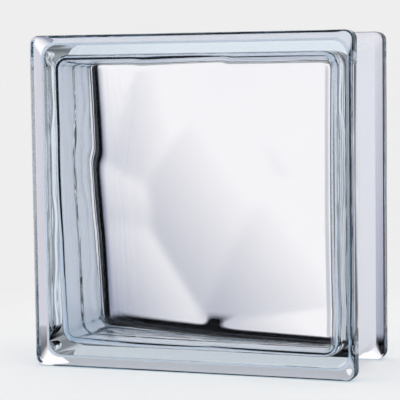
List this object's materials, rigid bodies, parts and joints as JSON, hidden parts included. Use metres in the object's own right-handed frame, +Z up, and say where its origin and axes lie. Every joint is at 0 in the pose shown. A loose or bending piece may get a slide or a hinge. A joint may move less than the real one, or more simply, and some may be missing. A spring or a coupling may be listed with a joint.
{
  "type": "glass block",
  "caption": "Square hollow glass block with wavy relief inside both faces and a coated mortar channel round the edge, for walls that let light through.",
  "frame": {"origin": "centre of the block's footprint, on the plane that its bottom flange edges stand on", "axes": "+X across the face, +Y through the block from the front face to the back face, +Z up"},
  "size_m": [0.19, 0.08, 0.19],
  "materials": {
    "clear_glass": "clear pressed glass, fire polished, faint blue-green tint",
    "edge_coat": "thin pale lavender-white mortar-key coat, smooth matte"
  },
  "bodies": {
    "root": {"front_half": "clear_glass", "back_half": "clear_glass", "edge_coating": "edge_coat"}
  },
  "joints": []
}
